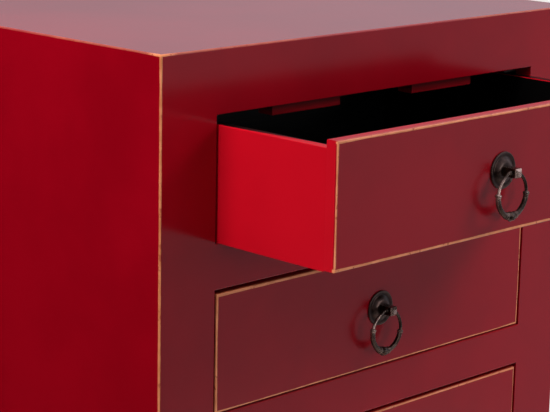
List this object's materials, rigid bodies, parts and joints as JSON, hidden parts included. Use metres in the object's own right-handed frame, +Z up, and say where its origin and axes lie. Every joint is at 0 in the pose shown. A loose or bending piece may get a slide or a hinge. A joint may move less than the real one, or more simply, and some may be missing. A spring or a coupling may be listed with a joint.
{
  "type": "chest of drawers",
  "caption": "Upright red lacquered chest of drawers with a flush front frame, inset sliding drawers, domed plate pulls with swinging rings, and bracketed feet.",
  "frame": {"origin": "on the floor under the middle of the stored pose, with the top drawer part open", "axes": "+Z up, -Y out of the drawer fronts, +X to the right of someone facing the chest"},
  "size_m": [0.648, 0.614, 0.86],
  "materials": {
    "red_lacquer": "satin lacquer",
    "bright_red_paint": "satin paint",
    "stop_red": "matt paint",
    "black_paint": "matt paint",
    "dark_wood": "matt stain",
    "dark_iron": "waxed",
    "steel": "zinc plated"
  },
  "bodies": {
    "case": {"top_panel": "red_lacquer", "left_side_panel": "red_lacquer", "right_side_panel": "red_lacquer", "left_stile": "red_lacquer", "right_stile": "red_lacquer", "top_rail": "red_lacquer", "middle_rail_1": "red_lacquer", "middle_rail_2": "red_lacquer", "middle_rail_3": "red_lacquer", "bottom_rail": "red_lacquer", "back_panel": "dark_wood", "rear_top_rail": "dark_wood", "rear_bottom_rail": "dark_wood", "dust_panel": "dark_wood", "kickers": "dark_wood", "runners_1": "dark_wood", "drawer_stops_1": "stop_red", "runners_2": "dark_wood", "drawer_stops_2": "stop_red", "runners_3": "dark_wood", "drawer_stops_3": "stop_red", "runners_4": "dark_wood", "drawer_stops_4": "stop_red"},
    "drawer_1": {"drawer_1_front": "red_lacquer", "drawer_1_left_side": "bright_red_paint", "drawer_1_right_side": "bright_red_paint", "drawer_1_back": "black_paint", "drawer_1_bottom": "black_paint", "pull_1_plate": "dark_iron", "pull_1_post": "dark_iron", "pull_1_nut": "steel"},
    "ring_1": {"pull_1_ring": "dark_iron"},
    "drawer_2": {"drawer_2_front": "red_lacquer", "drawer_2_left_side": "bright_red_paint", "drawer_2_right_side": "bright_red_paint", "drawer_2_back": "black_paint", "drawer_2_bottom": "black_paint", "pull_2_plate": "dark_iron", "pull_2_post": "dark_iron", "pull_2_nut": "steel"},
    "ring_2": {"pull_2_ring": "dark_iron"},
    "drawer_3": {"drawer_3_front": "red_lacquer", "drawer_3_left_side": "bright_red_paint", "drawer_3_right_side": "bright_red_paint", "drawer_3_back": "black_paint", "drawer_3_bottom": "black_paint", "pull_3_plate": "dark_iron", "pull_3_post": "dark_iron", "pull_3_nut": "steel"},
    "ring_3": {"pull_3_ring": "dark_iron"},
    "drawer_4": {"drawer_4_front": "red_lacquer", "drawer_4_left_side": "bright_red_paint", "drawer_4_right_side": "bright_red_paint", "drawer_4_back": "black_paint", "drawer_4_bottom": "black_paint", "pull_4_plate": "dark_iron", "pull_4_post": "dark_iron", "pull_4_nut": "steel"},
    "ring_4": {"pull_4_ring": "dark_iron"}
  },
  "joints": [
    {"name": "drawer_1_slide", "type": "slide", "parent": "case", "child": "drawer_1", "axis": [0, -1, 0], "range_m": [-0.161, 0.139]},
    {"name": "ring_1_swing", "type": "hinge", "parent": "drawer_1", "child": "ring_1", "pos_m": [0, -0.2993, 0.7308], "axis": [-1, 0, 0], "range_deg": [-10, 190]},
    {"name": "drawer_2_slide", "type": "slide", "parent": "case", "child": "drawer_2", "axis": [0, -1, 0], "range_m": [0, 0.3]},
    {"name": "ring_2_swing", "type": "hinge", "parent": "drawer_2", "child": "ring_2", "pos_m": [0, -0.1383, 0.5498], "axis": [-1, 0, 0], "range_deg": [-10, 190]},
    {"name": "drawer_3_slide", "type": "slide", "parent": "case", "child": "drawer_3", "axis": [0, -1, 0], "range_m": [0, 0.3]},
    {"name": "ring_3_swing", "type": "hinge", "parent": "drawer_3", "child": "ring_3", "pos_m": [0, -0.1383, 0.3688], "axis": [-1, 0, 0], "range_deg": [-10, 190]},
    {"name": "drawer_4_slide", "type": "slide", "parent": "case", "child": "drawer_4", "axis": [0, -1, 0], "range_m": [0, 0.3]},
    {"name": "ring_4_swing", "type": "hinge", "parent": "drawer_4", "child": "ring_4", "pos_m": [0, -0.1383, 0.1878], "axis": [-1, 0, 0], "range_deg": [-10, 190]}
  ]
}
